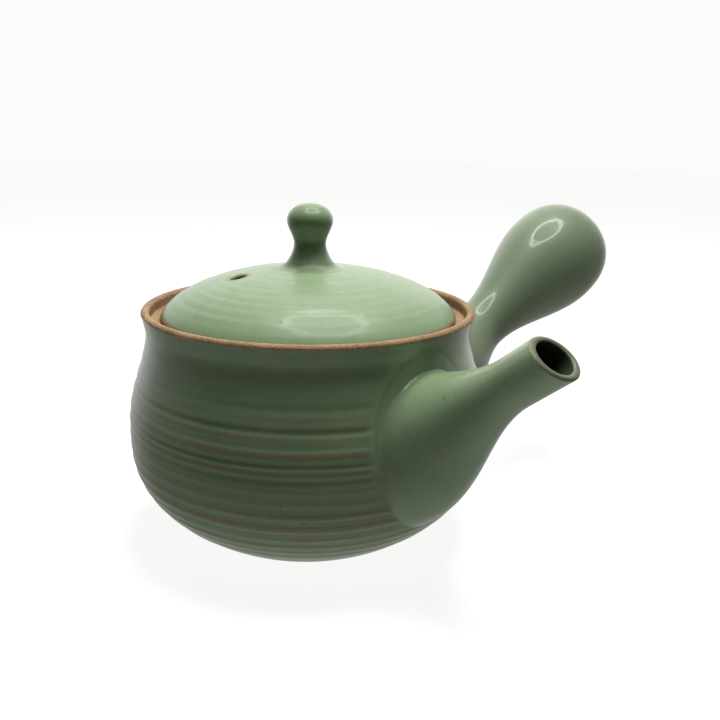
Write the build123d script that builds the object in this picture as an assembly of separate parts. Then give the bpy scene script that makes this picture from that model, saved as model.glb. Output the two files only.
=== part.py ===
from build123d import *
import math
import os

# Side-handled teapot, thrown in clay and luted together. Millimetres; origin on the table under
# the axis of the pot, +Z up, +X the way the spout pours, the handle a quarter turn from it.

# Pot body
foot_radius = 26.6
belly_radius = 54.0
belly_height = 34.5
neck_radius = 48.0
body_height = 70.9
lip_height = 5.9  # from the neck up to the rim
lip_radius = 49.0
lip_thickness = 2.4
wall = 3.0
floor_thickness = 4.0
lower_fullness = 2.6  # how fast the wall swells above the foot
upper_fullness = 1.4  # how late the wall draws in above the belly

# Throwing grooves round the outside, each as a share of the body's height
groove_shares = [0.190, 0.229, 0.269, 0.314, 0.375, 0.420, 0.528, 0.583, 0.645, 0.704, 0.781]
groove_depth = 0.35

# Gallery inside the neck that carries the lid
ledge_drop = 3.6
ledge_width = 5.6
ledge_thickness = 2.2
ledge_slope = 4.6

# Spout
spout_sunk = 14.7  # from the belly's radius in to the start of its axis
spout_start_height = 35.7
spout_rise = 39.1  # degrees above the table
spout_length = 59.6
spout_root_radius = 20.4
spout_root_wall = 2.8
throat_radius = 6.4
throat_bore = 4.6
throat_at = 46.8
spout_lip_radius = 6.5
mouth_rise = 55.0  # degrees that the mouth's face looks up
mouth_rounding = 0.7

# Strainer over the hole behind the spout
strainer_hole_radius = 14.0
strainer_height = 40.0
strainer_overlap = 3.6
strainer_wall = 1.8
strainer_bulge = 9.5
pore_radius = 0.8
pore_spacing = 2.9

# Handle
handle_turn = 82.4  # degrees from the spout, seen from above
handle_sunk = 3.6
handle_start_height = 42.3
handle_rise = 32.5
handle_length = 84.1
handle_root_radius = 17.0
waist_radius = 9.2
waist_at = 25.5
bulb_radius = 18.6
bulb_at = 65.0
bulb_fullness = 2.5
handle_wall = 2.8
vent_radius = 2.5

# Lid
lid_gap = 3.0  # to the inside of the lip, all round
lid_edge = 1.2
lid_edge_rounding = 0.9
lid_rise = 13.6
lid_brow = 12.0  # degrees up the dome's ellipse at the lid's edge
lid_wall = 3.2
seat_gap = 0.1
flange_clearance = 0.6
flange_thickness = 2.2
flange_depth = 5.8
steam_hole_radius = 2.3
steam_hole_rounding = 0.8
steam_hole_out = 21.6  # from the pot's axis
steam_hole_turn = -109.5

# Knob, its heights from its seat on the crown
knob_height = 18.8
knob_seat_radius = 10.4
knob_base_radius = 7.0
knob_base_at = 1.6
knob_neck_radius = 4.7
knob_neck_at = 7.2
knob_head_radius = 6.7
knob_head_at = 13.9

# What follows from them
spout_start = (belly_radius - spout_sunk, spout_start_height)
handle_start = (belly_radius - handle_sunk, handle_start_height)
neck_height = body_height - lip_height
rim_inner = lip_radius - lip_thickness
ledge_radius = rim_inner - ledge_width
ledge_top = body_height - ledge_drop
lid_radius = rim_inner - lid_gap
lip_at = spout_length - spout_lip_radius / 2  # the straight end that the mouth is cut across
slope_foot = ledge_top - ledge_thickness - ledge_slope
seat = ledge_top + seat_gap
flange_radius = ledge_radius - flange_clearance
flange_inner = flange_radius - flange_thickness
dome_base = seat + lid_edge
dome_top = dome_base + lid_rise


def smooth(share):
    share = min(max(share, 0.0), 1.0)
    return share * share * (3 - 2 * share)


def between(start, end, share):
    return start + (end - start) * share


def steps(start, end, count):
    return [between(start, end, i / (count - 1)) for i in range(count)]


def wall_radius(height, base, foot, belly, neck):
    """Radius of the thrown wall at a height, for its outside or its inside."""
    if height < belly_height:
        share = (height - base) / (belly_height - base)
        return between(foot, belly, 1 - (1 - share) ** lower_fullness)
    share = smooth((height - belly_height) / (neck_height - belly_height))
    return between(belly, neck, share**upper_fullness)


def outside(height):
    if height > neck_height:
        return between(neck_radius, lip_radius, (height - neck_height) / lip_height)
    return wall_radius(height, 0, foot_radius, belly_radius, neck_radius)


def inside(height):
    return wall_radius(
        height, floor_thickness, foot_radius - wall, belly_radius - wall, neck_radius - wall
    )


def at(radius, height):
    """A point of an outline that is turned about Z."""
    return Vector(radius, 0, height)


def turned(*edges):
    return revolve(make_face(list(edges)), axis=Axis.Z, revolution_arc=360)


def outer_outline():
    """The outside from the foot to the lip, with a groove at each throwing ring."""
    grooves = [share * body_height for share in groove_shares]
    crests = [(low + high) / 2 for low, high in zip(grooves, grooves[1:])]
    plain = steps(0, grooves[0], 4)[:-1] + crests + steps(grooves[-1], neck_height, 4)[1:]
    points = [(z, outside(z)) for z in plain]
    points += [(z, outside(z) - groove_depth) for z in grooves]
    points.append((body_height - lip_thickness / 2, lip_radius))
    return Spline(*[at(radius, z) for z, radius in sorted(points)])


def body_block():
    """The body's outside as a full solid, which trims whatever is luted to it."""
    outline = outer_outline()
    foot, top = outline @ 0, outline @ 1
    return turned(
        outline,
        Line(top, at(0, top.Z)),
        Line(at(0, top.Z), at(0, 0)),
        Line(at(0, 0), foot),
    )


def inner_outline():
    """The inside from the floor up to where the gallery's slope begins."""
    return Spline(*[at(inside(z), z) for z in steps(floor_thickness, slope_foot, 9)])


def cavity_block():
    """The hollow inside the body, up to the underside of the gallery."""
    outline = inner_outline()
    low, high = outline @ 0, outline @ 1
    return turned(
        outline,
        Line(high, at(0, high.Z)),
        Line(at(0, high.Z), at(0, low.Z)),
        Line(at(0, low.Z), low),
    )


def make_body():
    """One wall from the foot, over the lip, and down past the gallery to the floor."""
    outer, inner = outer_outline(), inner_outline()
    lip_foot = (outer @ 1).Z
    pot = turned(
        outer,
        ThreePointArc(
            outer @ 1,
            at(lip_radius - lip_thickness / 2, body_height),
            at(rim_inner, lip_foot),
        ),
        Polyline(at(rim_inner, lip_foot), at(rim_inner, ledge_top), inner @ 1),
        inner,
        Polyline(
            inner @ 0,
            at(0, floor_thickness),
            at(0, 0),
            outer @ 0,
        ),
    )
    hole = (
        Pos(belly_radius, 0, strainer_height)
        * Rot(0, 90, 0)
        * Cylinder(strainer_hole_radius, belly_radius)
    )
    return pot - hole


def make_gallery():
    """The ring inside the neck that carries the lid, sloping back to the wall underneath."""
    ring_foot = inner_outline() @ 1
    return turned(
        Polyline(
            ring_foot,
            at(rim_inner, ledge_top),
            at(ledge_radius, ledge_top),
            at(ledge_radius, ledge_top - ledge_thickness),
            ring_foot,
        )
    )


def spout_radius(along, root, throat, lip):
    if along < throat_at:
        return between(root, throat, smooth(along / throat_at))
    return between(throat, lip, smooth((along - throat_at) / (lip_at - throat_at)))


def spout_form(root, throat, lip):
    """A turned spout, or the channel through it, standing on its root along +Z."""
    tail, tip = -throat_at / 4, spout_length + spout_lip_radius
    bend = Spline(*[at(spout_radius(s, root, throat, lip), s) for s in steps(0, lip_at, 10)])
    return turned(
        Line(at(0, tail), at(root, tail)),
        Line(at(root, tail), at(root, 0)),
        bend,
        Line(at(lip, lip_at), at(lip, tip)),
        Line(at(lip, tip), at(0, tip)),
        Line(at(0, tip), at(0, tail)),
    )


def leaning(start, rise, turn=0):
    """The frame of a form that leans out from the pot: its root on Z, its tip along its own +Z."""
    tilt = Location((start[0], 0, start[1]), (0, 90 - rise, 0))
    return Location((0, 0, 0), (0, 0, turn)) * tilt


def make_spout(block):
    place = leaning(spout_start, spout_rise)
    flare = spout_lip_radius - throat_radius
    blank = place * spout_form(spout_root_radius, throat_radius, spout_lip_radius)
    root_bore = spout_root_radius - spout_root_wall
    channel = place * spout_form(root_bore, throat_bore, throat_bore + flare / 2)
    tip = place * Pos(0, 0, spout_length)
    mouth = Plane(
        origin=tip.position,
        z_dir=(math.cos(math.radians(mouth_rise)), 0, math.sin(math.radians(mouth_rise))),
    )
    reach = 4 * spout_lip_radius
    above = mouth.location * Pos(0, 0, reach / 2) * Box(reach, reach, reach)
    spout = blank - channel - above - block
    face = spout.faces().sort_by(Axis(mouth.origin, mouth.z_dir))[-1]
    return fillet(face.edges(), mouth_rounding)


def make_strainer(cavity):
    """A perforated dome over the hole behind the spout, bulging into the pot."""
    reach = strainer_hole_radius + strainer_overlap
    wall_inside = inside(strainer_height)
    depth = strainer_bulge
    ball = (reach**2 + depth**2) / (2 * depth)
    centre = Pos(wall_inside - depth + ball, 0, strainer_height)
    dome = centre * Sphere(ball) - centre * Sphere(ball - strainer_wall)
    round_the_hole = Pos(wall_inside, 0, strainer_height) * Rot(0, 90, 0) * Cylinder(reach, 2 * reach)
    cap = dome & cavity & round_the_hole
    drill = Pos(-ball, 0, 0) * Rot(0, 90, 0) * Cylinder(pore_radius, 4 * strainer_wall)
    pores = []
    for ring in range(5):
        tilt = math.degrees(ring * pore_spacing / ball)
        count = max(1, round(2 * math.pi * ring))
        for i in range(count):
            pores.append(centre * Rot(360 * i / count, 0, 0) * Rot(0, 0, tilt) * drill)
    return cap - pores


def bulb_form(extra):
    """A thrown handle, or the hollow in it: flared root, narrow waist, closed bulb, along +Z."""
    tail = -handle_root_radius
    length, root = handle_length + extra, handle_root_radius + extra
    waist, bulb = waist_radius + extra, bulb_radius + extra
    neck = [at(between(root, waist, smooth(s / waist_at)), s) for s in steps(0, waist_at, 5)]
    swell = [
        at(between(waist, bulb, smooth((s - waist_at) / (bulb_at - waist_at))), s)
        for s in steps(waist_at, bulb_at, 6)[1:]
    ]
    end = []
    for turn in steps(0, 90, 7)[1:]:
        up = max(math.sin(math.radians(turn)), 0) ** (2 / bulb_fullness)
        out = max(math.cos(math.radians(turn)), 0) ** (2 / bulb_fullness)
        end.append(at(bulb * out, between(bulb_at, length, up)))
    end[-1] = at(0, length)
    points = neck + swell + end
    outline = Spline(*points, tangents=[(0, 0, 1), (-1, 0, 0)])
    return turned(
        Line(at(0, tail), at(root, tail)),
        Line(at(root, tail), at(root, 0)),
        outline,
        Line(at(0, length), at(0, tail)),
    )


def make_handle(block):
    place = leaning(handle_start, handle_rise, handle_turn)
    blank, hollow = place * bulb_form(0), place * bulb_form(-handle_wall)
    vent = place * Pos(0, 0, handle_length) * Cylinder(vent_radius, 4 * handle_wall)
    return blank - hollow - vent - block


def dome_arc(radius, rise, base, brow, top_radius=0.0):
    """An arc of an ellipse from the edge of a dome towards its crown.

    It starts brow degrees up the ellipse and stops at top_radius from the axis.
    """
    across = radius / math.cos(math.radians(brow))
    upright = rise / (1 - math.sin(math.radians(brow)))
    sweep = math.degrees(math.acos(top_radius / across)) - brow
    arc = EllipticalCenterArc((0, 0), across, upright, start_angle=brow, arc_size=sweep)
    return Pos(0, 0, base + rise - upright) * (Rot(90, 0, 0) * arc)


def lid_outline():
    return dome_arc(lid_radius, lid_rise, dome_base, lid_brow, knob_seat_radius)


def lid_block():
    """The lid's outside as a full solid, with a flat on its crown for the knob."""
    dome = lid_outline()
    crown = (dome @ 1).Z
    return turned(
        dome,
        Line(dome @ 1, at(0, crown)),
        Line(at(0, crown), at(0, seat)),
        Line(at(0, seat), at(lid_radius, seat)),
        Line(at(lid_radius, seat), dome @ 0),
    )


def make_lid(block):
    hollow_rise = dome_top - lid_wall - seat
    hollow = turned(
        dome_arc(flange_inner, hollow_rise, seat, 0),
        Line(at(0, seat + hollow_rise), at(0, seat)),
        Line(at(0, seat), at(flange_inner, seat)),
    )
    hole_place = Rot(0, 0, steam_hole_turn) * Pos(steam_hole_out, 0, dome_top)
    lid = block - hollow - hole_place * Cylinder(steam_hole_radius, 2 * lid_rise)
    mouth = lid.edges().sort_by_distance(hole_place.position)[0]
    lid = fillet(mouth, steam_hole_rounding)
    rim = lid.edges().filter_by(GeomType.CIRCLE).group_by(SortBy.RADIUS)[-1].sort_by(Axis.Z)[0]
    return fillet(rim, lid_edge_rounding)


def make_flange():
    ring = Cylinder(flange_radius, flange_depth) - Cylinder(flange_inner, flange_depth)
    ring = Pos(0, 0, seat - flange_depth / 2) * ring
    return fillet(ring.edges().group_by(Axis.Z)[0], flange_thickness / 3)


def make_knob():
    """The knob, flared into the dome at its foot and widest just under its rounded top."""
    knob_seat = (lid_outline() @ 1).Z
    head, top = knob_seat + knob_head_at, knob_seat + knob_height
    shoulder = math.sqrt(0.5)  # halfway round the quarter ellipse above the widest point
    stem = Spline(
        at(knob_seat_radius, knob_seat),
        at(knob_base_radius, knob_seat + knob_base_at),
        at(knob_neck_radius, knob_seat + knob_neck_at),
        at(knob_head_radius, head),
        tangents=[(-1, 0, 0.2), (0, 0, 1)],
    )
    crown = ThreePointArc(
        at(knob_head_radius, head),
        at(knob_head_radius * shoulder, head + (top - head) * shoulder),
        at(0, top),
    )
    return turned(Line(stem @ 0, at(0, knob_seat)), stem, crown, Line(at(0, top), at(0, knob_seat)))


os.makedirs("parts", exist_ok=True)
block = body_block()
nodes = {
    "pot_body": make_body(),
    "gallery": make_gallery(),
    "spout": make_spout(block),
    "strainer": make_strainer(cavity_block()),
    "handle": make_handle(block),
    "lid": make_lid(lid_block()),
    "lid_flange": make_flange(),
    "lid_knob": make_knob(),
}
for name, shape in nodes.items():
    export_step(shape, f"parts/{name}.step")
    print(name, round(shape.volume), "mm3", len(shape.solids()), "solid")
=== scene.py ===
import math

import bpy
import numpy as np
from mathutils import Matrix


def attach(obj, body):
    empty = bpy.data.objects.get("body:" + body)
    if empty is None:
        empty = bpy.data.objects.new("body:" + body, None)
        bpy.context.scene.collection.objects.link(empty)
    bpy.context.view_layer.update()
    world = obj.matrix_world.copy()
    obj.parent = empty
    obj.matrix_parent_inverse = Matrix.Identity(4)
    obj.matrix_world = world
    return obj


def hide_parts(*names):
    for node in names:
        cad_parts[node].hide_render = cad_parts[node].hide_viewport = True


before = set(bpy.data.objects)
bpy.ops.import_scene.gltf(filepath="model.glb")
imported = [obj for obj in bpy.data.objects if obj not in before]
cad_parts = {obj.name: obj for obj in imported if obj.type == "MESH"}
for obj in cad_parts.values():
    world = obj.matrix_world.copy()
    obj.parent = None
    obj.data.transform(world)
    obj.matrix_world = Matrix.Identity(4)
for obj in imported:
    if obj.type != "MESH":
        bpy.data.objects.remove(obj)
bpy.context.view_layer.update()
mm = 0.001
print("frame loaded")


def smooth(share):
    share = min(max(share, 0.0), 1.0)
    return share * share * (3 - 2 * share)


def between(start, end, share):
    return start + (end - start) * share


def steps(start, end, count):
    return [between(start, end, i / (count - 1)) for i in range(count)]


def turns(count):  # angles evenly round a circle
    return [2 * math.pi * j / count for j in range(count)]


def linear(colour):  # screen red, green, blue from 0 to 255, as Blender's linear colour
    parts = [c / 255 for c in colour]
    return tuple(c / 12.92 if c <= 0.04045 else ((c + 0.055) / 1.055) ** 2.4 for c in parts) + (1.0,)


def signedVolume(points, faces):
    total = 0.0
    for face in faces:
        for second, third in zip(face[1:-1], face[2:]):
            total += np.dot(points[face[0]], np.cross(points[second], points[third]))
    return total / 6


def show(name, data):  # a new object in the scene
    item = bpy.data.objects.new(name, data)
    bpy.context.scene.collection.objects.link(item)
    return item


# rows of points that each go once round; ends are closed with a pole point or joined to each other
def wrapRows(name, rows, poles=None):
    rows = np.asarray(rows, float)
    count, around = rows.shape[:2]
    points = rows.reshape(-1, 3)
    pairs = [(i, i + 1) for i in range(count - 1)]
    if poles is None:
        pairs.append((count - 1, 0))
    faces = []
    for low, high in pairs:
        for j in range(around):
            k = (j + 1) % around
            faces.append((low * around + j, low * around + k, high * around + k, high * around + j))
    if poles is not None:
        points = np.vstack([points, poles])
        last = (count - 1) * around
        for j in range(around):
            k = (j + 1) % around
            faces.append((len(points) - 2, k, j))
            faces.append((len(points) - 1, last + j, last + k))
    if signedVolume(points, faces) < 0:
        faces = [face[::-1] for face in faces]
    mesh = bpy.data.meshes.new(name)
    mesh.from_pydata((points * mm).tolist(), [], faces)
    mesh.shade_smooth()
    return show(name, mesh)


# a form turned on the wheel from its section: (radius, height) points that start and end on the axis
def turnOnWheel(name, section, around):
    section = np.asarray(section, float)
    angle = np.arange(around) * 2 * math.pi / around
    ring = np.stack([np.cos(angle), np.sin(angle), np.zeros(around)], axis=-1)
    rows = section[1:-1, None, :1] * ring[None] + section[1:-1, None, 1:] * np.array([0, 0, 1.0])
    ends = [(0, 0, section[0][1]), (0, 0, section[-1][1])]
    return wrapRows(name, rows, ends)


# the piece as it looks with its modifiers, as a plain mesh with none left
def settle(piece):
    shown = piece.evaluated_get(bpy.context.evaluated_depsgraph_get())
    mesh = bpy.data.meshes.new_from_object(shown)
    piece.modifiers.clear()
    old, piece.data = piece.data, mesh
    bpy.data.meshes.remove(old)
    return piece


def cutAway(piece, cutter):
    cut = piece.modifiers.new("cut", "BOOLEAN")
    cut.operation, cut.solver, cut.object = "DIFFERENCE", "EXACT", cutter
    settle(piece)
    bpy.data.objects.remove(cutter)


class Wire:  # a socket that can be used in sums
    def __init__(self, board, socket):
        self.board, self.socket = board, socket

    def combine(self, operation, other, swapped=False):
        pair = (other, self) if swapped else (self, other)
        return self.board.node("ShaderNodeMath", {"operation": operation}, {0: pair[0], 1: pair[1]})

    def __add__(self, other):
        return self.combine("ADD", other)

    def __sub__(self, other):
        return self.combine("SUBTRACT", other)

    def __rsub__(self, other):
        return self.combine("SUBTRACT", other, True)

    def __mul__(self, other):
        return self.combine("MULTIPLY", other)

    def __truediv__(self, other):
        return self.combine("DIVIDE", other)

    def __pow__(self, other):
        return self.combine("POWER", other)

    def __neg__(self):
        return self.combine("MULTIPLY", -1.0)

    __radd__, __rmul__ = __add__, __mul__

    def orMore(self, other):
        return self.combine("MAXIMUM", other)


class Board:  # a node tree being wired
    def __init__(self, tree):
        self.tree = tree

    def node(self, kind, settings=None, inputs=None, output=0):
        made = self.tree.nodes.new(kind)
        for key, value in (settings or {}).items():
            setattr(made, key, value)
        for key, value in (inputs or {}).items():
            if isinstance(value, Wire):
                self.tree.links.new(value.socket, made.inputs[key])
            else:
                made.inputs[key].default_value = value
        return Wire(self, made.outputs[output])

    def feed(self, shader, wires):
        for label, wire in wires.items():
            self.tree.links.new(wire.socket, shader.inputs[label])

    def mixColour(self, share, first, second):
        settings = {"data_type": "RGBA", "clamp_factor": True}
        return self.node("ShaderNodeMix", settings, {0: share, 6: first, 7: second}, 2)

    def band(self, value, low, high):  # 0 below low, 1 above high, smooth in between
        settings = {"interpolation_type": "SMOOTHSTEP"}
        return self.node("ShaderNodeMapRange", settings, {0: value, 1: low, 2: high, 3: 0.0, 4: 1.0})

    def bell(self, gap):  # 1 where the gap is 0, falling away on both sides
        return self.node("ShaderNodeMath", {"operation": "EXPONENT"}, {0: -(gap * gap)})

    def vector(self, operation, first, second=(0.0, 0.0, 0.0), output=0):  # output 1 is the number
        return self.node("ShaderNodeVectorMath", {"operation": operation}, {0: first, 1: second}, output)

    def attribute(self, name):
        return self.node("ShaderNodeAttribute", {"attribute_name": name}, None, 2)

    def noise(self, where, scale, detail=2.0, rough=0.5):
        inputs = {"Vector": where, "Scale": scale, "Detail": detail, "Roughness": rough}
        return self.node("ShaderNodeTexNoise", None, inputs)

    def turnFrom(self, where):  # unit x and y towards a point from the Z axis, its radius, its height
        x, y, z = self.split(where)
        radius = (x * x + y * y + 1e-12) ** 0.5
        return x / radius, y / radius, radius / mm, z / mm

    def split(self, vector):
        parts = self.node("ShaderNodeSeparateXYZ", None, {0: vector})
        outputs = parts.socket.node.outputs
        return [Wire(self, outputs[i]) for i in range(3)]

    def join(self, x, y, z):
        return self.node("ShaderNodeCombineXYZ", None, {0: x, 1: y, 2: z})


def flow(points, firstTangent, lastTangent, count):  # a smooth line through a few points
    points = np.asarray(points, float)
    gaps = np.linalg.norm(np.diff(points, axis=0), axis=1)
    slopes = [np.asarray(firstTangent, float)]
    for i in range(1, len(points) - 1):
        slopes.append((points[i + 1] - points[i - 1]) / (gaps[i - 1] + gaps[i]))
    slopes.append(np.asarray(lastTangent, float))
    line = []
    for i, gap in enumerate(gaps):
        for t in np.linspace(0, 1, count, endpoint=False):
            a, b = 2 * t**3 - 3 * t**2 + 1, t**3 - 2 * t**2 + t
            c, d = 3 * t**2 - 2 * t**3, t**3 - t**2
            line.append(a * points[i] + b * gap * slopes[i] + c * points[i + 1] + d * gap * slopes[i + 1])
    return [tuple(p) for p in line] + [tuple(points[-1])]


glaze = {
    # bore is a painted shade: a near-black green for the inside of the spout
    "thin": (123, 142, 107), "full": (115, 139, 104), "pooled": (78, 78, 48), "bore": (46, 58, 40),
    "broken": (118, 107, 77), "speck": (62, 54, 38), "bloom": (190, 205, 175),
    "lipLine": (69.2, 69.9), "footLine": (0.6, 1.5), "lidLine": (43.0, 43.45),  # where the glaze stops, mm
    "roughness": 0.40, "coat": 0.45, "coatRoughness": 0.075, "specular": 0.65,
}
clay = {
    "warm": (148, 117, 82), "dark": (112, 84, 54), "pale": (182, 150, 112), "sparkle": (235, 215, 190),
    "roughness": 0.62,
}


def clayColour(board, where):
    cloud = board.band(board.noise(where, 90.0, 4.0, 0.6), 0.32, 0.68)
    grain = board.band(board.noise(where, 1500.0, 3.0, 0.7), 0.35, 0.7)
    colour = board.mixColour(cloud, linear(clay["dark"]), linear(clay["warm"]))
    colour = board.mixColour(grain * 0.45, colour, linear(clay["pale"]))
    dots = board.node("ShaderNodeTexVoronoi", None, {"Vector": where, "Scale": 1700.0})
    sparkle = 1 - board.band(dots, 0.10, 0.24)
    return board.mixColour(sparkle * 0.5, colour, linear(clay["sparkle"])), sparkle, grain


def startMaterial(name):  # a material, its board, its shader and a place on the piece
    material = bpy.data.materials.new(name)
    material.use_nodes = True
    board = Board(material.node_tree)
    shader = material.node_tree.nodes["Principled BSDF"]
    return material, board, shader, board.node("ShaderNodeTexCoord", output=3)


# bare(board, where, mottle) gives how bare the clay is, from 0 to 1
def makeGlaze(name, bare=None, pool=0.0, tint=None, shine=1.0, grain=0.35, edgeColour=glaze["broken"]):
    material, board, shader, where = startMaterial(name)
    press = board.attribute("press")
    cloud = board.noise(where, 38.0, 4.0, 0.62)
    mottle = board.noise(where, 260.0, 5.0, 0.65)
    fine = board.noise(where, 1300.0, 3.0, 0.6)
    streak = board.noise(board.vector("MULTIPLY", where, (1.0, 1.0, 6.0)), 60.0, 4.0)
    colour = board.mixColour(board.band(cloud, 0.30, 0.70), linear(glaze["full"]), linear(glaze["thin"]))
    colour = board.mixColour(board.band(mottle, 0.40, 0.80) * 0.10, colour, linear(glaze["pooled"]))
    if tint:
        colour = board.mixColour(0.5, colour, linear(tint))
    deep = board.band(press + (mottle - 0.5) * 0.08 + pool, 0.06, 0.46)
    colour = board.mixColour(deep * 0.75, colour, linear(glaze["pooled"]))
    # painted shade: press above 1.2 marks the spout's bore and the inside of its lip, which are painted the
    # dark bore colour
    colour = board.mixColour(board.band(press, 1.2, 1.6), colour, linear(glaze["bore"]))
    proud = board.band(-press + (streak - 0.5) * 0.16 + (mottle - 0.5) * 0.08, 0.0, 0.16)
    colour = board.mixColour(proud * 0.75, colour, linear(glaze["broken"]))
    dots = board.node("ShaderNodeTexVoronoi", None, {"Vector": where, "Scale": 170.0})
    chance = board.band(board.noise(where, 90.0, 1.0), 0.60, 0.66)
    specks = (1 - board.band(dots, 0.045, 0.10)) * chance
    colour = board.mixColour(specks * 0.5, colour, linear(glaze["speck"]))
    colour = board.mixColour(board.band(fine, 0.45, 0.75) * 0.06, colour, linear(glaze["bloom"]))
    rough = (fine - 0.5) * 0.10 + (mottle - 0.5) * 0.12 + glaze["roughness"]
    coat = 1 - specks * 0.5
    height = fine * grain + mottle * 0.35 - specks * 0.5
    if bare:
        mask = bare(board, where, mottle)
        raw, sparkle, grit = clayColour(board, where)
        edge = board.band(mask, 0.02, 0.5) * (1 - board.band(mask, 0.5, 0.98))
        colour = board.mixColour(edge * 0.8, colour, linear(edgeColour))
        colour = board.mixColour(board.band(mask, 0.5, 0.98), colour, raw)
        rough = rough + mask * (clay["roughness"] - glaze["roughness"]) - sparkle * mask * 0.3
        coat = coat * (1 - mask)
        height = height + mask * (grit * 0.8 + sparkle * 0.4)
    bump = board.node("ShaderNodeBump", None, {"Strength": 0.20, "Distance": 0.00008, "Height": height})
    coat = coat * (glaze["coat"] * shine)
    board.feed(shader, {"Base Color": colour, "Roughness": rough, "Coat Weight": coat, "Normal": bump})
    shader.inputs["Coat Roughness"].default_value = glaze["coatRoughness"]
    shader.inputs["Specular IOR Level"].default_value = glaze["specular"]
    return material


def makeClay(name):
    material, board, shader, where = startMaterial(name)
    colour, sparkle, grain = clayColour(board, where)
    lumps = board.noise(where, 320.0, 4.0)
    rough = (grain - 0.5) * 0.1 - sparkle * 0.3 + clay["roughness"]
    height = grain + lumps * 0.5
    bump = board.node("ShaderNodeBump", None, {"Strength": 0.3, "Distance": 0.00015, "Height": height})
    board.feed(shader, {"Base Color": colour, "Roughness": rough, "Normal": bump})
    return material


def potBare(board, where, mottle):  # the lip and the inside, and the foot under an uneven glaze line
    x, y, radius, height = board.turnFrom(where)
    wander = board.noise(board.join(x, y, 0.0), 2.2, 4.0, 0.6) - 0.5
    above = board.band(height + wander * 1.6 + (mottle - 0.5) * 1.2, *glaze["lipLine"])
    below = 1 - board.band(height + wander * 0.8, *glaze["footLine"])
    within = (1 - board.band(board.attribute("facing"), -0.2, 0.0)) * board.band(height, 1.5, 2.5)
    ledge = (1 - board.band(radius, 47.0, 47.4)) * board.band(height, 56.0, 57.0)
    return above.orMore(ledge).orMore(below).orMore(within)


def lidBare(board, where, mottle):  # the lid's edge and underside, and a ring burnt round the steam hole
    radius = board.turnFrom(where)[2]
    under = 1 - board.band(board.attribute("upward"), -0.3, 0.05)
    edge = board.band(radius + (mottle - 0.5) * 0.5, *glaze["lidLine"])
    turn = math.radians(lid["steamTurn"])
    hole = (lid["steamOut"] * mm * math.cos(turn), lid["steamOut"] * mm * math.sin(turn), 0.0)
    gap = board.vector("DISTANCE", board.vector("MULTIPLY", where, (1.0, 1.0, 0.0)), hole, 1) / mm
    halo = (1 - board.band(gap + (mottle - 0.5) * 1.5, 2.8, 4.8)) * 0.3
    return under.orMore(edge).orMore(halo)


def knobBare(board, where, mottle):  # glaze thin and brown round the head and where the foot flares out
    height = board.split(where)[2] / mm - knobSeat + (mottle - 0.5) * 0.8
    head, foot = board.bell((height - 17.4) / 0.9), board.bell((height - 1.5) / 0.8)
    return head * 0.24 + foot * 0.26


# a Geometry Nodes tree that presses throwing rings into any form turned about Z
# each of roots is the start, axis and radius of a form luted on: the rings are wiped smooth round it
def ringTree(name, rings, roots):
    tree = bpy.data.node_groups.new(name, "GeometryNodeTree")
    face = tree.interface
    face.new_socket("Geometry", in_out="INPUT", socket_type="NodeSocketGeometry")
    for label in ("Depth", "Lean", "Wander", "Unevenness", "Upward", "By Radius", "Seed"):
        face.new_socket(label, in_out="INPUT", socket_type="NodeSocketFloat")
    face.new_socket("Glaze", in_out="INPUT", socket_type="NodeSocketMaterial")
    face.new_socket("Geometry", in_out="OUTPUT", socket_type="NodeSocketGeometry")
    board = Board(tree)
    source = tree.nodes.new("NodeGroupInput")
    geometry, depth, lean, wander, uneven, upward, byRadius, seed, coating = [
        Wire(board, s) for s in source.outputs[:9]
    ]
    where = board.node("GeometryNodeInputPosition")
    normal = board.node("GeometryNodeInputNormal")
    x, y, radius, height = board.turnFrom(where)
    facing = board.vector("DOT_PRODUCT", normal, board.join(x, y, 0.0), 1)
    rise = board.split(normal)[2]
    drift = board.noise(board.join(x, y, height * 0.014 + seed), 1.1, 1.0) - 0.5
    level = height * (1 - byRadius) + radius * byRadius + (x + y * 1.2) * lean + wander * drift * 2.0
    press = None
    for number, (middle, deep, half) in enumerate(rings):
        dent = board.bell((level - middle) / half) * deep
        fade = board.band(board.noise(board.join(x, y, number + 0.37), 0.9, 1.0), 0.30, 0.62)
        dent = dent * (fade * 0.6 + 0.5)
        press = dent if press is None else press + dent
    outer = board.band(facing + upward * rise, 0.02, 0.35) * board.band(height, 0.6, 3.0)
    for start, axis, size in roots:
        away = board.vector("SUBTRACT", where, tuple(start * mm))
        along = board.vector("DOT_PRODUCT", away, tuple(axis), 1)
        gap = board.vector("LENGTH", board.vector("CROSS_PRODUCT", away, tuple(axis)), output=1) / mm - size
        near = board.band(along / mm, -18.0, -8.0)
        clear = 1 - (1 - board.band(gap, 1.0, 4.6)) * near
        press = press * clear + board.bell((gap - 1.1) / 0.9) * near * 0.22
    press = press * outer
    bumpy = (board.noise(where, 55.0, 2.0) - 0.5) * uneven * outer
    move = (bumpy - press * depth) * mm
    offset = board.node("ShaderNodeVectorMath", {"operation": "SCALE"}, {0: normal, "Scale": move})
    result = geometry
    for label, value in (("press", press), ("facing", facing), ("upward", rise)):
        settings = {"data_type": "FLOAT", "domain": "POINT"}
        inputs = {"Geometry": result, "Name": label, "Value": value}
        result = board.node("GeometryNodeStoreNamedAttribute", settings, inputs)
    result = board.node("GeometryNodeSetPosition", None, {"Geometry": result, "Offset": offset})
    result = board.node("GeometryNodeRealizeInstances", None, {"Geometry": result})
    result = board.node("GeometryNodeSetMaterial", None, {"Geometry": result, "Material": coating})
    tree.links.new(result.socket, tree.nodes.new("NodeGroupOutput").inputs[0])
    return tree


def pressRings(piece, rings, values, coating, roots=()):
    tree = ringTree(piece.name + "Rings", rings, roots)
    rule = piece.modifiers.new("rings", "NODES")
    rule.node_group = tree
    values = dict(values, Glaze=coating)
    for item in tree.interface.items_tree:
        if item.in_out == "INPUT" and item.name in values:
            rule[item.identifier] = values[item.name]
    return settle(piece)


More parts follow.
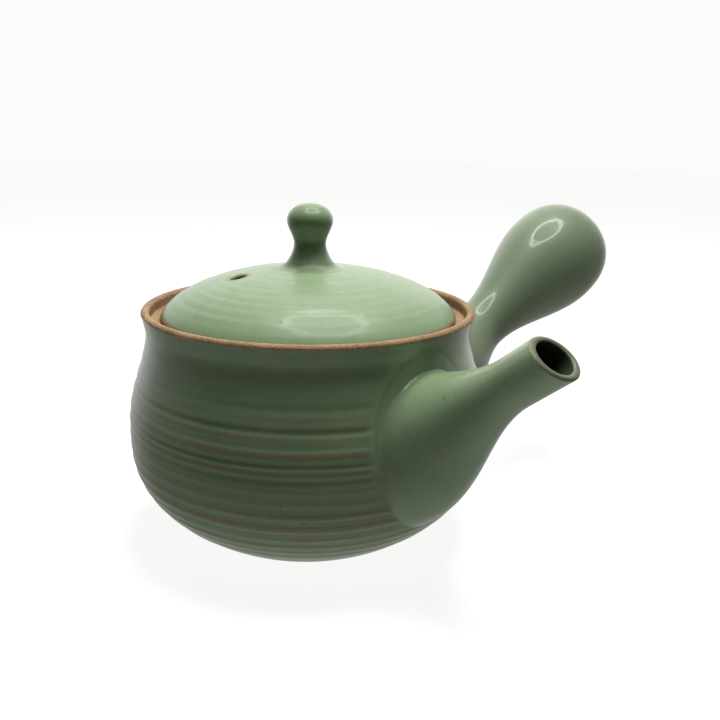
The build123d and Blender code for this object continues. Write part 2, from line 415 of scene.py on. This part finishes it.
class Leaning:  # a round form that leans out of the pot
    def __init__(self, start, rise, turn):
        rise, turn = math.radians(rise), math.radians(turn)
        outwards = np.array([math.cos(turn), math.sin(turn), 0])
        up = np.array([0, 0, 1.0])
        self.start = outwards * start[0] + up * start[1]
        self.axis = outwards * math.cos(rise) + up * math.sin(rise)
        self.top = up * math.cos(rise) - outwards * math.sin(rise)
        self.side = np.cross(self.axis, self.top)

    def point(self, along, radius, angle):
        away = self.side * math.cos(angle) + self.top * math.sin(angle)
        return self.start + self.axis * along + away * radius

    def rows(self, radiusAt, angles, starts, ends, shares):  # rings of points from starts to ends
        rows = []
        for share in shares:
            alongs = [between(start, end, share) for start, end in zip(starts, ends)]
            rows.append([self.point(s, radiusAt(s), a) for s, a in zip(alongs, angles)])
        return rows

    def root(self, radiusAt, angle, sunk):  # how far along the form meets the pot's wall
        low, high = -30.0, 30.0
        for _ in range(40):
            middle = (low + high) / 2
            spot = self.point(middle, radiusAt(middle), angle)
            if math.hypot(spot[0], spot[1]) < outside(spot[2]) - sunk:
                low = middle
            else:
                high = middle
        return high


# the pot, thrown in one piece; sizes are in millimetres
pot = {
    "foot": 26.6, "footRounding": 0.7,
    "belly": 53.9, "bellyHeight": 34.5, "neck": 48.0,
    "height": 70.9, "lipHeight": 5.9, "lip": 49.0, "lipThickness": 2.4,
    "wall": 3.0, "floor": 4.0, "lowerFullness": 2.6, "upperFullness": 1.4,
    "ledgeDrop": 3.6, "ledgeWidth": 5.6, "ledgeThickness": 2.2, "ledgeSlope": 4.6,
    "strainerHole": 14.0, "strainerHeight": 40.0, "around": 320,
}
neckHeight = pot["height"] - pot["lipHeight"]
rimInner = pot["lip"] - pot["lipThickness"]
ledgeTop = pot["height"] - pot["ledgeDrop"]
ledgeRadius = rimInner - pot["ledgeWidth"]
slopeFoot = ledgeTop - pot["ledgeThickness"] - pot["ledgeSlope"]

# each ring: height, depth (negative stands proud), half width
potRings = [
    (62.8, 0.20, 3.0), (67.6, -0.07, 0.9), (55.4, 0.24, 1.4), (49.9, 0.42, 1.0), (45.9, 0.28, 0.9),
    (41.4, 0.36, 0.9), (37.3, 0.26, 1.3), (33.4, 0.14, 1.2), (29.8, 0.22, 1.0), (26.4, 0.22, 0.8),
    (22.2, 0.26, 0.9), (19.2, 0.20, 0.7), (16.2, 0.20, 0.7), (13.2, 0.18, 0.8), (9.6, 0.14, 1.0),
    (57.8, -0.08, 1.2), (52.9, -0.10, 1.2), (48.1, -0.14, 1.0), (44.3, -0.20, 1.1), (39.8, -0.20, 1.1),
    (35.2, -0.12, 1.1), (31.7, -0.12, 1.0), (28.1, -0.18, 1.1), (24.3, -0.22, 1.2), (20.7, -0.18, 0.9),
    (17.7, -0.20, 0.9), (14.7, -0.16, 0.9), (11.4, -0.12, 1.0),
]


def wallRadius(height, base, foot, belly, neck):
    if height < pot["bellyHeight"]:
        share = (height - base) / (pot["bellyHeight"] - base)
        return between(foot, belly, 1 - (1 - share) ** pot["lowerFullness"])
    share = smooth((height - pot["bellyHeight"]) / (neckHeight - pot["bellyHeight"]))
    return between(belly, neck, share ** pot["upperFullness"])


def outside(height):
    if height > neckHeight:
        return between(pot["neck"], pot["lip"], (height - neckHeight) / pot["lipHeight"])
    return wallRadius(max(height, 0.0), 0, pot["foot"], pot["belly"], pot["neck"])


def inside(height):
    wall = pot["wall"]
    return wallRadius(height, pot["floor"], pot["foot"] - wall, pot["belly"] - wall, pot["neck"] - wall)


def potSection():
    section = [(r, 0.0) for r in steps(0, pot["foot"] - pot["footRounding"], 14)]
    section += [(outside(z) - 0.3 * (1 - z / pot["footRounding"]) ** 2, z) for z in (0.15, 0.4)]
    lipRadius = pot["lipThickness"] / 2
    lipFoot = pot["height"] - lipRadius
    section += [(outside(z), z) for z in steps(0.8, lipFoot, 168)]
    for turn in steps(0, math.pi, 17)[1:]:
        out = pot["lip"] - lipRadius + lipRadius * math.cos(turn)
        section.append((out, lipFoot + lipRadius * math.sin(turn)))
    corner = 0.5  # worn corners of the gallery
    section += [(rimInner, z) for z in steps(lipFoot - 0.5, ledgeTop + corner, 5)]
    for turn in steps(0, math.pi / 2, 5)[1:]:
        out, up = 1 - math.cos(turn), 1 - math.sin(turn)
        section.append((rimInner - corner * out, ledgeTop + corner * up))
    section += [(r, ledgeTop) for r in steps(rimInner - corner, ledgeRadius + corner, 10)[1:]]
    for turn in steps(0, math.pi / 2, 5)[1:]:
        out, down = 1 - math.sin(turn), 1 - math.cos(turn)
        section.append((ledgeRadius + corner * out, ledgeTop - corner * down))
    lowest = ledgeTop - pot["ledgeThickness"]
    section += [(ledgeRadius, z) for z in steps(ledgeTop - corner, lowest, 4)[1:]]
    for t in steps(0, 1, 8)[1:]:
        section.append((between(ledgeRadius, inside(slopeFoot), t), between(lowest, slopeFoot, t)))
    section += [(inside(z), z) for z in steps(slopeFoot, pot["floor"], 60)[1:]]
    section += [(r, pot["floor"]) for r in steps(pot["foot"] - pot["wall"], 0, 14)[1:]]
    return section


def strainerCutter():
    radius, start, length = pot["strainerHole"], 20.0, 60.0
    cutter = turnOnWheel("cutter", [(0, 0), (radius, 0), (radius, length), (0, length)], 64)
    place = Matrix.Translation((start * mm, 0, pot["strainerHeight"] * mm))
    cutter.data.transform(place @ Matrix.Rotation(math.pi / 2, 4, "Y"))
    return cutter


spout = {
    "start": (39.3, 35.7), "rise": 39.1, "length": 59.6, "root": 20.4, "rootWall": 2.8,
    "throat": 6.4, "bore": 4.6, "throatAt": 46.8, "lip": 6.4, "mouthRise": 55.0, "around": 200,
    "turningLines": 0.006, "linesEnd": 54.0, "collar": 1.5, "lipColour": (82, 72, 50),
    "rows": 190, "lipRows": 15, "boreRows": 50,
}
handle = {
    "start": (50.4, 42.3), "rise": 32.5, "turn": 82.4, "length": 84.1, "root": 17.0,
    "waist": 9.2, "waistAt": 25.5, "bulb": 18.6, "bulbAt": 65.0, "fullness": 2.5,
    "wall": 2.8, "vent": 2.5, "ventRounding": 0.9, "around": 200, "turningLines": 0.003, "linesEnd": 60.0,
    "collar": 0.9, "tint": (106, 113, 94), "rows": 150, "endRows": 60, "innerRows": 50,
}
spoutForm = Leaning(spout["start"], spout["rise"], 0)
handleForm = Leaning(handle["start"], handle["rise"], handle["turn"])
potRoots = [
    (spoutForm.start, spoutForm.axis, spout["root"] - 3.0),
    (handleForm.start, handleForm.axis, handle["root"] - 1.5),
]
potWall = turnOnWheel("potWall", potSection(), pot["around"])
cutAway(potWall, strainerCutter())
potGlaze = makeGlaze("potGlaze", bare=potBare)
potValues = {
    "Depth": 0.48, "Lean": 0.16, "Wander": 0.30, "Unevenness": 0.12,
    "Upward": 0.0, "By Radius": 0.0, "Seed": 3.0,
}
pressRings(potWall, potRings, potValues, potGlaze, potRoots)
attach(potWall, "pot")
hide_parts("pot_body", "gallery")
print("pot wall done")


collarGlaze = makeGlaze("collarGlaze", pool=0.10, shine=1.8)
collars = {"around": 220, "rows": 9, "deep": 1.2, "sunk": 0.12}


def collar(name, form, radiusAt, width):  # slip smoothed into the corner round a root
    count = collars["rows"]
    rows = [[] for _ in range(count + 2)]
    for angle in turns(collars["around"]):
        meets = form.root(radiusAt, angle, 0.0)
        corner = form.point(meets, radiusAt(meets), angle)
        wide = width * (0.75 + 0.25 * math.sin(angle))  # narrower underneath
        wide *= 1 + 0.18 * math.sin(3 * angle + 0.5) + 0.10 * math.sin(7 * angle)
        up = meets + wide
        upper = form.point(up, radiusAt(up) - 0.10, angle)
        grown = lambda along: radiusAt(along) + wide
        lowAlong = form.root(grown, angle, collars["sunk"])
        lower = form.point(lowAlong, grown(lowAlong), angle)
        for k in range(count):
            t = k / (count - 1)
            rows[k].append(upper * (1 - t) ** 2 + corner * 2 * t * (1 - t) + lower * t * t)
        deepAlong = form.root(radiusAt, angle, collars["deep"])
        rows[count].append(form.point(deepAlong, radiusAt(deepAlong) + wide * 0.5, angle))
        rows[count + 1].append(form.point(up, radiusAt(up) - 1.0, angle))
    piece = wrapRows(name, rows)
    piece.data.materials.append(collarGlaze)
    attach(piece, "pot")


# the spout, thrown and cut across
spoutLipAt = spout["length"] - spout["lip"] / 2


def spoutShape(root, throat, lip, ripple):
    def radiusAt(along):
        if along < spout["throatAt"]:
            plain = between(root, throat, smooth(along / spout["throatAt"]))
        else:
            share = (along - spout["throatAt"]) / (spoutLipAt - spout["throatAt"])
            plain = between(throat, lip, smooth(share))
        wave = math.sin(along * 2.1) + math.sin(along * 3.7 + 1)
        return plain + ripple * wave * smooth((spout["linesEnd"] - along) / 8)
    return radiusAt


def mouthAt(radius, angle):
    mouth = math.radians(spout["mouthRise"] - spout["rise"])
    return spout["length"] - radius * math.sin(angle) * math.tan(mouth)


spoutOut = spoutShape(spout["root"], spout["throat"], spout["lip"], spout["turningLines"])
spoutBoreLip = spout["bore"] + (spout["lip"] - spout["throat"]) / 2
spoutIn = spoutShape(spout["root"] - spout["rootWall"], spout["bore"], spoutBoreLip, 0.0)
lipHalf = (spout["lip"] - spoutBoreLip) / 2
spoutAngles = turns(spout["around"])
outRoots = [spoutForm.root(spoutOut, a, 0.5) for a in spoutAngles]
inRoots = [spoutForm.root(spoutIn, a, 0.5) for a in spoutAngles]
outEnds = [mouthAt(spout["lip"], a) - 0.8 for a in spoutAngles]
inEnds = [mouthAt(spoutBoreLip, a) - 1.6 for a in spoutAngles]
spoutRows = spoutForm.rows(spoutOut, spoutAngles, outRoots, outEnds, steps(0, 1, spout["rows"]))
for turn in steps(0, math.pi, spout["lipRows"]):
    radius = spoutBoreLip + lipHalf * (1 + math.cos(turn))
    spoutRows.append([
        spoutForm.point(mouthAt(radius, a) - 0.75 * (1 - math.sin(turn)), radius, a) for a in spoutAngles
    ])
spoutRows += spoutForm.rows(spoutIn, spoutAngles, inEnds, inRoots, steps(0, 1, spout["boreRows"])[1:])


def spoutBare(board, where, mottle):  # the glaze breaks brown on the lip
    normal = math.radians(spout["mouthRise"])
    away = board.vector("SUBTRACT", where, tuple(spoutForm.start * mm))
    ahead = board.vector("DOT_PRODUCT", away, (math.cos(normal), 0.0, math.sin(normal)), 1)
    tip = spout["length"] * mm * math.cos(math.radians(spout["mouthRise"] - spout["rise"]))
    return board.band(ahead + (mottle - 0.5) * 0.0006, tip - 0.0012, tip + 0.0001) * 0.40


spoutPiece = wrapRows("spoutForm", spoutRows)
boreShadeLayer = spoutPiece.data.attributes.new("press", "FLOAT", "POINT")  # painted shade: the bore and the inside of the lip are marked to be painted dark
boreShade = np.zeros(len(spoutRows) * spout["around"])
boreShade[(spout["rows"] + spout["lipRows"] - 3) * spout["around"]:] = 2.0
boreShadeLayer.data.foreach_set("value", boreShade)
spoutPiece.data.materials.append(makeGlaze("spoutGlaze", bare=spoutBare, edgeColour=spout["lipColour"]))
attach(spoutPiece, "pot")
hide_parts("spout")
collar("spoutCollar", spoutForm, spoutOut, spout["collar"])
print("spout done")


# the handle, hollow, with a vent at its end
def handleShape(less, ripple):
    root, waist, bulb = [handle[key] - less for key in ("root", "waist", "bulb")]

    def radiusAt(along):
        if along < handle["waistAt"]:
            plain = between(root, waist, smooth(along / handle["waistAt"]))
        else:
            share = (along - handle["waistAt"]) / (handle["bulbAt"] - handle["waistAt"])
            plain = between(waist, bulb, smooth(share))
        wave = math.sin(along * 1.7) + math.sin(along * 2.9 + 2) + math.sin(along * 4.3)
        return plain + ripple * wave * smooth((handle["linesEnd"] - along) / 8)
    return radiusAt


def bulbEnd(less, count, stop):  # along and radius round the closed end, up to a radius of stop
    bulb, length = handle["bulb"] - less, handle["length"] - less
    power = 2 / handle["fullness"]
    last = math.acos((stop / bulb) ** (1 / power))
    ends = []
    for turn in steps(0, last, count)[1:]:
        up, out = math.sin(turn) ** power, math.cos(turn) ** power
        ends.append((between(handle["bulbAt"], length, up), bulb * out))
    return ends


handleOut, handleIn = handleShape(0, handle["turningLines"]), handleShape(handle["wall"], 0.0)
handleAngles = turns(handle["around"])
outRoots = [handleForm.root(handleOut, a, 0.5) for a in handleAngles]
inRoots = [handleForm.root(handleIn, a, 0.5) for a in handleAngles]
bulbAts = [handle["bulbAt"]] * handle["around"]
handleRows = handleForm.rows(handleOut, handleAngles, outRoots, bulbAts, steps(0, 1, handle["rows"]))
rim = handle["vent"] + handle["ventRounding"]
ends = bulbEnd(0, handle["endRows"], rim)
endAlong = ends[-1][0]
for turn in steps(0, math.pi / 2, 7)[1:]:
    back, inwards = 1 - math.cos(turn), math.sin(turn)
    ends.append((endAlong - handle["ventRounding"] * back, rim - handle["ventRounding"] * inwards))
innerEnds = bulbEnd(handle["wall"], handle["endRows"] // 2, handle["vent"])
ends += [(between(ends[-1][0], innerEnds[-1][0], t), handle["vent"]) for t in (0.3, 0.6)]
ends += innerEnds[::-1]
for s, radius in ends:
    handleRows.append([handleForm.point(s, radius, a) for a in handleAngles])
handleRows += handleForm.rows(handleIn, handleAngles, bulbAts, inRoots, steps(0, 1, handle["innerRows"]))
handlePiece = wrapRows("handleForm", handleRows)
handlePiece.data.materials.append(makeGlaze("handleGlaze", tint=handle["tint"]))
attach(handlePiece, "pot")
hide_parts("handle")
collar("handleCollar", handleForm, handleOut, handle["collar"])
print("handle done")


# the lid, with its steam hole
lid = {
    "radius": 43.6, "edge": 1.2, "edgeRounding": 0.9, "rise": 13.6, "brow": 12.0, "wall": 3.2,
    "seat": 67.4, "hollow": 38.2, "around": 300,
    "steamHole": 2.3, "steamRounding": 0.8, "steamOut": 21.6, "steamTurn": -109.5,
    "shine": 0.35, "grain": 1.3,
}
lidRings = [  # radius, depth, half width
    (14.5, 0.10, 0.9), (18.2, 0.12, 1.0), (21.0, -0.05, 0.8), (24.6, 0.13, 1.1), (28.3, 0.10, 0.9),
    (31.6, 0.14, 1.0), (34.9, 0.10, 0.8), (37.6, 0.14, 0.9), (40.6, 0.10, 0.7),
    (26.4, -0.06, 0.6), (33.2, -0.06, 0.6), (39.2, -0.06, 0.5),
]
domeBase = lid["seat"] + lid["edge"]
domeTop = domeBase + lid["rise"]
domeAcross = lid["radius"] / math.cos(math.radians(lid["brow"]))
domeUpright = lid["rise"] / (1 - math.sin(math.radians(lid["brow"])))


def domeHeight(radius):
    return domeTop - domeUpright + domeUpright * math.sqrt(1 - (radius / domeAcross) ** 2)


def lidSection():
    section = [(r, domeHeight(r)) for r in steps(0, lid["radius"] - 0.3, 150)]
    section += [(lid["radius"] - 0.1, domeBase + 0.12), (lid["radius"], domeBase - 0.1)]
    rounding = lid["edgeRounding"]
    for turn in steps(0, math.pi / 2, 7):
        out = lid["radius"] - rounding * (1 - math.cos(turn))
        section.append((out, lid["seat"] + rounding * (1 - math.sin(turn))))
    section += [(r, lid["seat"]) for r in steps(lid["radius"] - rounding, lid["hollow"], 6)[1:]]
    rise = domeTop - lid["wall"] - lid["seat"]
    for turn in steps(0, math.pi / 2, 40)[1:]:
        section.append((lid["hollow"] * math.cos(turn), lid["seat"] + rise * math.sin(turn)))
    section[-1] = (0.0, lid["seat"] + rise)
    return section


def steamCutter():
    hole, rounding = lid["steamHole"], lid["steamRounding"]
    top = domeHeight(lid["steamOut"])
    slope = domeHeight(lid["steamOut"] + 0.5) - domeHeight(lid["steamOut"] - 0.5)
    section = [(0, -9.0), (hole, -9.0), (hole, -4.0)]
    for turn in steps(0, math.pi / 2.2, 9):
        section.append((hole + rounding * (1 - math.cos(turn)), rounding * (math.sin(turn) - 1)))
    section += [(hole + rounding * 3, 2.5), (0, 2.5)]
    cutter = turnOnWheel("cutter", section, 72)
    turn = math.radians(lid["steamTurn"])
    for point in cutter.data.vertices:
        point.co.z += point.co.x * slope + top * mm
        point.co.x += lid["steamOut"] * mm
    cutter.data.transform(Matrix.Rotation(turn, 4, "Z"))
    return cutter


lidPiece = turnOnWheel("lidDome", lidSection(), lid["around"])
cutAway(lidPiece, steamCutter())
lidValues = {
    "Depth": 0.40, "Lean": 0.1, "Wander": 0.3, "Unevenness": 0.14,
    "Upward": 1.0, "By Radius": 1.0, "Seed": 8.0,
}
lidGlaze = makeGlaze("lidGlaze", bare=lidBare, shine=lid["shine"], grain=lid["grain"])
pressRings(lidPiece, lidRings, lidValues, lidGlaze)
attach(lidPiece, "cover")
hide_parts("lid")
print("lid done")


# the knob
knob = {
    "seat": 10.4, "height": 18.8, "base": (7.0, 1.6), "neck": (4.7, 7.2), "head": (6.7, 13.9), "around": 160,
    "tint": (98, 124, 88),
}
knobSeat = domeHeight(knob["seat"])


def knobSection():
    stem = [(knob["seat"], 0.0), knob["base"], knob["neck"], knob["head"]]
    line = flow(stem, (-0.98, 0.2), (0, 1), 26)
    section = [(r, -0.6) for r in steps(0, knob["seat"] - 0.4, 8)] + line
    head, top = knob["head"], knob["height"]
    for turn in steps(0, math.pi / 2, 34)[1:]:
        section.append((head[0] * math.cos(turn) ** 0.96, head[1] + (top - head[1]) * math.sin(turn)))
    section[-1] = (0.0, top)
    return [(r, z + knobSeat) for r, z in section]


knobPiece = turnOnWheel("knobForm", knobSection(), knob["around"])
knobPiece.data.materials.append(makeGlaze("knobGlaze", bare=knobBare, tint=knob["tint"]))
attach(knobPiece, "cover")
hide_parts("lid_knob")
print("knob done")


# unglazed parts keep their CAD shape
bareClay = makeClay("bareClay")
for node in ("strainer", "lid_flange"):
    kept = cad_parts[node]
    kept.data.materials.clear()
    kept.data.materials.append(bareClay)
print("bare clay done")


# floor, lights and camera
stage = {
    "floorColour": (130, 130, 129), "floorGlow": 0.90, "floorSize": 4.0, "sky": (251, 251, 250),
    "surround": 0.62, "fill": 0.02, "sides": 0.13, "bounce": 1.10,
    "ringOut": 113.0, "ringIn": 87.0, "ringAt": (18.0, 35.0, 375.0), "ringAround": 96, "ringStrength": 11.5,
    "topPower": 7.4, "topSize": 0.36, "topAt": (0.0, 0.12, 0.75),
    "cameraAt": (0.170168, -0.135940, 0.116757), "cameraLens": 36.88,
    "cameraRight": (0.67337, 0.73906, 0.01881), "cameraUp": (-0.21883, 0.17494, 0.95995),
    "cameraAhead": (-0.70618, 0.65052, -0.27953),
}


def emission(name, strength):
    material = bpy.data.materials.new(name)
    material.use_nodes = True
    board = Board(material.node_tree)
    shine = board.node("ShaderNodeEmission", None, {"Color": (1, 1, 1, 1), "Strength": strength})
    board.tree.links.new(shine.socket, material.node_tree.nodes["Material Output"].inputs[0])
    return material


def makeRing():
    count = stage["ringAround"]
    x, y, z = stage["ringAt"]
    points = []
    for radius in (stage["ringOut"], stage["ringIn"]):
        for a in turns(count):
            points.append(((x + radius * math.cos(a)) * mm, (y + radius * math.sin(a)) * mm, z * mm))
    faces = [(j, count + j, count + (j + 1) % count, (j + 1) % count) for j in range(count)]
    mesh = bpy.data.meshes.new("ringLamp")
    mesh.from_pydata(points, [], faces)
    mesh.materials.append(emission("ringShine", stage["ringStrength"]))
    ring = show("ringLamp", mesh)
    ring.visible_camera = False


def makeFloor():
    size = stage["floorSize"]
    corners = [(-size, -size, 0), (size, -size, 0), (size, size, 0), (-size, size, 0)]
    mesh = bpy.data.meshes.new("floor")
    mesh.from_pydata(corners, [], [(0, 1, 2, 3)])
    material = bpy.data.materials.new("paleFloor")
    material.use_nodes = True
    shader = material.node_tree.nodes["Principled BSDF"]
    shader.inputs["Base Color"].default_value = linear(stage["floorColour"])
    shader.inputs["Roughness"].default_value = 0.9
    shader.inputs["Specular IOR Level"].default_value = 0.1
    shader.inputs["Emission Color"].default_value = (1.0, 1.0, 0.995, 1.0)
    shader.inputs["Emission Strength"].default_value = stage["floorGlow"]
    mesh.materials.append(material)
    floor = show("floor", mesh)
    floor.visible_diffuse = floor.visible_glossy = floor.visible_shadow = False


def makeWorld():
    world = bpy.data.worlds.new("studio")
    bpy.context.scene.world = world
    world.use_nodes = True
    board = Board(world.node_tree)
    board.tree.nodes.clear()
    way = board.node("ShaderNodeTexCoord")
    towards = board.vector("DOT_PRODUCT", way, (0.78, -0.62, 0.0), 1)  # brighter walls to the back left
    shade = (1 - board.band(towards, -0.95, -0.25)) * 1.7
    shade = shade + (1 - board.band(towards, -0.3, 0.5)) * 0.42 + 0.04
    down = -board.split(way)[2]
    shade = shade * (1 - board.band(down, 0.0, 0.5) * 0.6)
    below = board.band(down, 0.0, 0.9) * stage["bounce"]
    path = board.tree.nodes.new("ShaderNodeLightPath").outputs
    camera, glossy = Wire(board, path["Is Camera Ray"]), Wire(board, path["Is Glossy Ray"])
    sides = (1 - board.band(towards, -0.25, 0.55)) * stage["sides"]
    lit = glossy * shade * stage["surround"] + (1 - glossy) * (below + sides + stage["fill"])
    strength = camera + (1 - camera) * lit
    sky = board.node("ShaderNodeBackground", None, {"Color": linear(stage["sky"]), "Strength": strength})
    board.tree.links.new(sky.socket, board.tree.nodes.new("ShaderNodeOutputWorld").inputs[0])


def makeTop():
    lamp = bpy.data.lights.new("topLight", "AREA")
    lamp.shape, lamp.size, lamp.energy = "DISK", stage["topSize"], stage["topPower"]
    top = show("topLight", lamp)
    top.location = stage["topAt"]
    top.visible_glossy = False


def makeCamera():
    view = bpy.data.cameras.new("view")
    view.sensor_width, view.lens, view.clip_start = 36.0, stage["cameraLens"], 0.01
    camera = show("view", view)
    back = [-c for c in stage["cameraAhead"]]
    turn = Matrix((stage["cameraRight"], stage["cameraUp"], back)).transposed().to_4x4()
    camera.matrix_world = Matrix.Translation(stage["cameraAt"]) @ turn
    bpy.context.scene.camera = camera


makeRing()
makeFloor()
makeWorld()
makeTop()
makeCamera()
bpy.context.scene.view_settings.view_transform = "Standard"
print("stage done")
